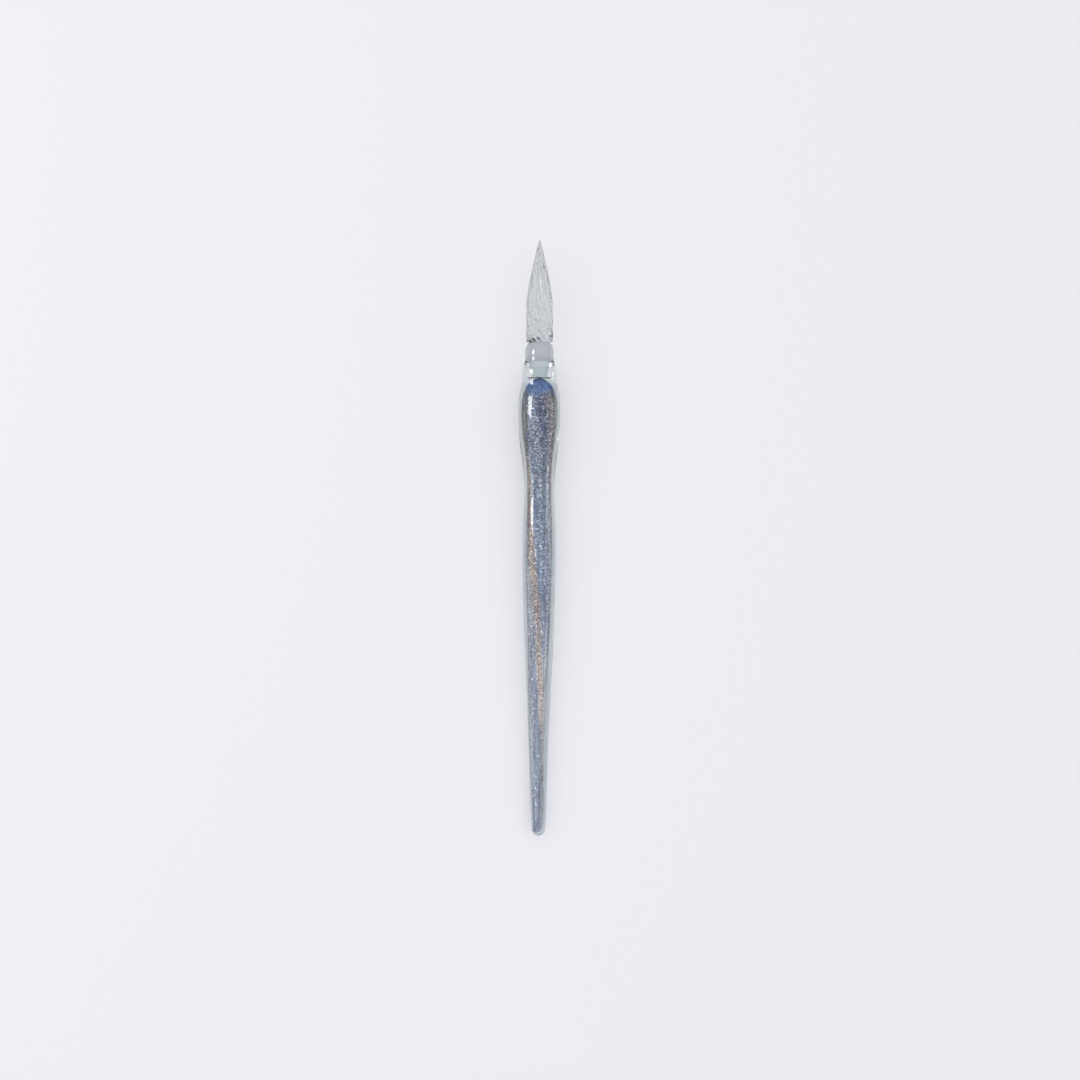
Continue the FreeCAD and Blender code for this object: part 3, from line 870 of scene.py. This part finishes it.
def make_band(number):
    """A strip of clouded glass, crowded with flakes."""
    draw = random.Random(BAND_SEEDS + number)
    points, strip, tints = band_strip(number)
    flakes = []
    front = GLITTER_FROM - FADE_BEFORE
    for _ in range(BAND_FLAKES):
        station = front + (BAND_END - END_MARGIN - front) * draw.random()
        if draw.random() > glitter_density(station):
            continue
        across = draw.gauss(0, BAND_SPREAD)
        if abs(across) > BAND_REACH:
            continue
        around = band_middle(number, station) + across * BAND_HALF
        spot = scatter(draw, station, around, BAND_FLAKE_SIZES, BAND_FLAKE_TILT)
        hue = band_hue(number, across, station) + draw.gauss(0, BAND_HUE_SPREAD)
        add_flake(points, flakes, tints, draw, spot, flake_tint(draw, hue))
    groups = [(strip, BAND_GLASS), (flakes, FLAKES)]
    piece = new_glitter(f"glitter_band_{number}_strip", points, groups, tints)
    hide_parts(f"glitter_band_{number}")
    return piece


def make_stray_glitter():
    """Finer blue and silver flakes on the core between the bands."""
    draw = random.Random(STRAY_SEED)
    points, flakes, tints = [], [], []
    for _ in range(STRAY_FLAKES):
        station = GLITTER_FROM + (BAND_END - GLITTER_FROM) * draw.random() ** STRAY_POWER
        if draw.random() > glitter_density(station):
            continue
        around = draw.uniform(0, 2 * math.pi)
        if min(abs(past_band(band, station, around)) for band in range(1, BANDS + 1)) < STRAY_OUTSIDE:
            continue
        spot = scatter(draw, station, around, STRAY_FLAKE_SIZES, STRAY_FLAKE_TILT)
        hue = draw.gauss(STRAY_HUE, STRAY_HUE_SPREAD)
        add_flake(points, flakes, tints, draw, spot, flake_tint(draw, hue))
    return new_glitter("stray_glitter", points, [(flakes, FLAKES)], tints)


make_nib()
bead = make_clear_turned("clear_bead", "nib_bead", bead_outline(), BEAD_GLASS, BEAD_SEED)
casing = make_clear_turned(
    "clear_casing", "handle_casing", casing_outline(), CASING_GLASS, CASING_SEED, air_film()
)
coloured = [make_core()]
coloured += [make_band(number) for number in range(1, BANDS + 1)]
coloured.append(make_stray_glitter())
for piece in coloured:
    piece.visible_shadow = False  # light comes through the coloured glass too


# ---------------------------------------------------------------- floor, light and camera
FLOOR_HALF, FLOOR_COLOUR = 4.0, (0.86, 0.852, 0.885)
SKY = [(0.0, (0.1, 0.105, 0.11)), (0.3, (0.18, 0.19, 0.2)), (0.6, (0.9, 0.91, 0.93)), (1.0, (1, 1, 1))]
SKY_FROM, SKY_TO = -0.1, 0.9  # heights of its first and last colour: 0 is the horizon, 1 is overhead
SKY_STRENGTH = 1.1
PEN_MIDDLE = Vector((0, 0, 0.006))
LEFT = math.radians(-76), math.radians(53)  # azimuth and angle from overhead
PICTURE_WIDTH, SENSOR, LENS = 0.2972, 36.0, 85.0
CAMERA_OFFSET, CAMERA_ROLL = (0.00026, -0.00034), math.radians(0.14)


def make_floor():
    turns = ((-1, -1), (1, -1), (1, 1), (-1, 1))
    corners = [(x * FLOOR_HALF, y * FLOOR_HALF, 0) for x, y in turns]
    mesh = bpy.data.meshes.new("floor")
    mesh.from_pydata(corners, [], [(0, 1, 2, 3)])
    floor = bpy.data.objects.new("floor", mesh)
    bpy.context.scene.collection.objects.link(floor)
    material, nodes, links, output = new_material("floor")
    shader = nodes.new("ShaderNodeBsdfPrincipled")
    shader.inputs["Base Color"].default_value = (*FLOOR_COLOUR, 1)
    shader.inputs["Roughness"].default_value = 0.9
    shader.inputs["Specular IOR Level"].default_value = 0.1
    links.new(shader.outputs["BSDF"], output.inputs["Surface"])
    mesh.materials.append(material)
    floor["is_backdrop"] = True


def make_softbox(name, azimuth, from_zenith, distance, size, power):
    """A rectangular soft lamp that faces the pen."""
    lamp = bpy.data.lights.new(name, "AREA")
    lamp.shape = "RECTANGLE"
    lamp.size, lamp.size_y = size
    lamp.energy = power
    side = Vector((math.sin(azimuth), math.cos(azimuth), 0))
    direction = side * math.sin(from_zenith) + Vector((0, 0, math.cos(from_zenith)))
    holder = bpy.data.objects.new(name, lamp)
    holder.location = PEN_MIDDLE + direction * distance
    holder.rotation_euler = direction.to_track_quat("Z", "Y").to_euler()
    bpy.context.scene.collection.objects.link(holder)
    return holder


def make_lamps():
    """A soft lamp on the left, and a card in front of it that is only seen reflected in the clear glass."""
    make_softbox("left_softbox", *LEFT, distance=0.7, size=(0.42, 0.26), power=0.45)
    card = make_softbox("reflection_card", *LEFT, distance=0.65, size=(0.23, 0.24), power=2.2)
    card.visible_diffuse = False
    shining = bpy.data.collections.new("shining")
    for piece in (bead, casing):
        shining.objects.link(piece)
    card.light_linking.receiver_collection = shining


def make_world():
    """Bright overhead and darker near the horizon, as in a light tent."""
    world = bpy.data.worlds.new("studio")
    bpy.context.scene.world = world
    world.use_nodes = True
    nodes, links = world.node_tree.nodes, world.node_tree.links
    background = nodes["Background"]
    height = coordinate(nodes, links, "Generated", "Z")
    sky = ramp(nodes, links, between(nodes, links, height, 0.0, 1.0, SKY_FROM, SKY_TO), SKY)
    links.new(sky, background.inputs["Color"])
    background.inputs["Strength"].default_value = SKY_STRENGTH


def make_camera():
    """Straight above the pen, with the nib at the top of the picture."""
    low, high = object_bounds()
    lens = bpy.data.cameras.new("camera")
    lens.lens, lens.sensor_width = LENS, SENSOR
    lens.clip_start = 0.01
    camera = bpy.data.objects.new("camera", lens)
    camera.location = (*CAMERA_OFFSET, (low[2] + high[2]) / 2 + PICTURE_WIDTH * LENS / SENSOR)
    camera.rotation_euler = (0, 0, CAMERA_ROLL)
    bpy.context.scene.collection.objects.link(camera)
    bpy.context.scene.camera = camera


make_floor()
make_world()
make_lamps()
make_camera()
bpy.context.scene.view_settings.view_transform = "Standard"
